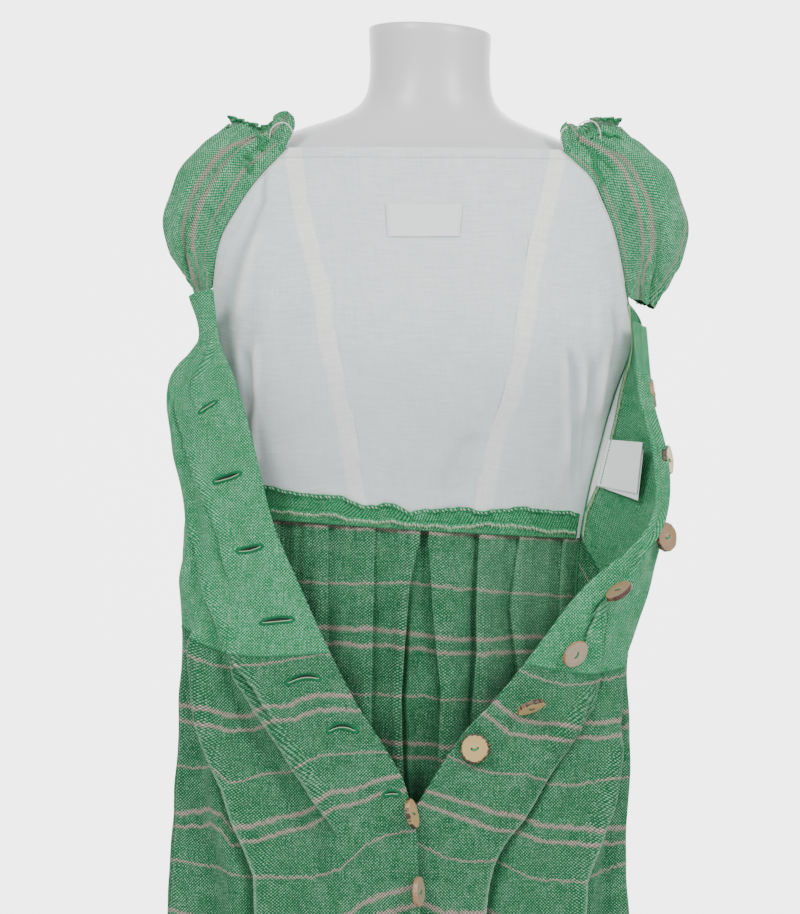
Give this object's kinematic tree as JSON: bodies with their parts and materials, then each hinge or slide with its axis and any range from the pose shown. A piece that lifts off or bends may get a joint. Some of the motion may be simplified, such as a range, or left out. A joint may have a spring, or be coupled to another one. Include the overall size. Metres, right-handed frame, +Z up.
{
  "type": "dirndl dress on a dress form",
  "caption": "Green linen dirndl with puff sleeves and a striped skirt, unbuttoned to the skirt and hung open on a limbless dress form with a round steel base.",
  "frame": {"origin": "centre of the round base's underside, on the floor", "axes": "+Z up along the stand's pole, -Y towards the front that the open dress faces, +X to the right as seen from the front"},
  "size_m": [0.5045, 0.4366, 1.5204],
  "materials": {
    "form_gloss": "gloss",
    "stand_steel": "brushed",
    "green_linen": "woven",
    "striped_linen": "woven, with taupe weft stripes",
    "lining_cotton": "woven",
    "label_white": "woven, blank",
    "horn": "satin, dark rim"
  },
  "bodies": {
    "root": {"back_bodice_centre": "green_linen", "back_bodice_left": "green_linen", "back_bodice_right": "green_linen", "back_lining_centre": "lining_cotton", "back_lining_left": "lining_cotton", "back_lining_right": "lining_cotton", "back_skirt": "striped_linen", "button_01": "horn", "button_02": "horn", "button_03": "horn", "button_04": "horn", "button_05": "horn", "button_06": "horn", "button_07": "horn", "button_08": "horn", "button_09": "horn", "button_10": "horn", "button_11": "horn", "button_12": "horn", "care_tag_front": "label_white", "care_tag_rear": "label_white", "form_base": "stand_steel", "form_pole": "stand_steel", "form_torso": "form_gloss", "front_bodice_left": "green_linen", "front_bodice_right": "green_linen", "front_facing_right": "green_linen", "front_lining_right": "lining_cotton", "front_skirt_left": "striped_linen", "front_skirt_right": "striped_linen", "neck_label": "label_white", "sleeve_frill_left": "striped_linen", "sleeve_frill_right": "striped_linen", "sleeve_left": "striped_linen", "sleeve_right": "striped_linen", "waist_allowance_bodice": "green_linen", "waist_allowance_skirt": "green_linen"}
  },
  "joints": []
}
